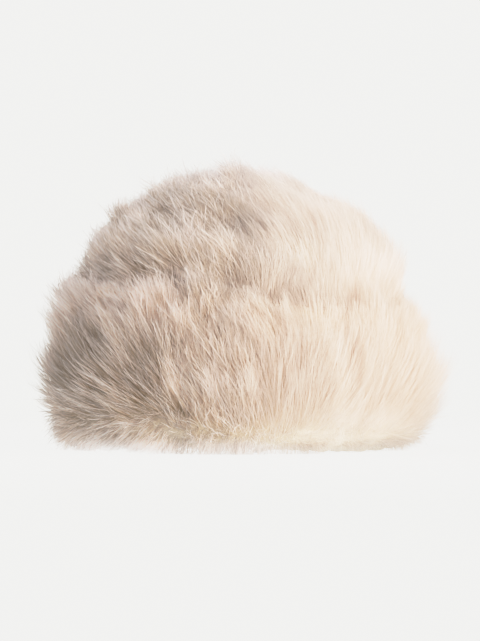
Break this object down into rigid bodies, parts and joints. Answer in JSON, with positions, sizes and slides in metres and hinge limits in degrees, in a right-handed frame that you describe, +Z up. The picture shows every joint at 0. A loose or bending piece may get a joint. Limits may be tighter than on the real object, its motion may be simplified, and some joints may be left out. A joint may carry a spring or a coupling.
{
  "type": "fur hat with a turned-up cuff",
  "caption": "Soft domed hat of long pale fur with a deep fur cuff turned up round the rim, open beneath for the head.",
  "frame": {"origin": "middle of the floor under the hat's rim, on the hat's box", "axes": "+Z up through the crown, -Y towards the hat's front, +Y along the head's length towards the back, +X towards the side where the cuff's top edge is low"},
  "size_m": [0.2589, 0.2747, 0.1894],
  "materials": {
    "suede": "matte, napped flesh side of the pelt",
    "fur": "long soft pile with a faint sheen"
  },
  "bodies": {
    "root": {"crown_skin": "suede", "crown_fur": "fur", "cuff_skin": "suede", "cuff_fur": "fur"}
  },
  "joints": []
}
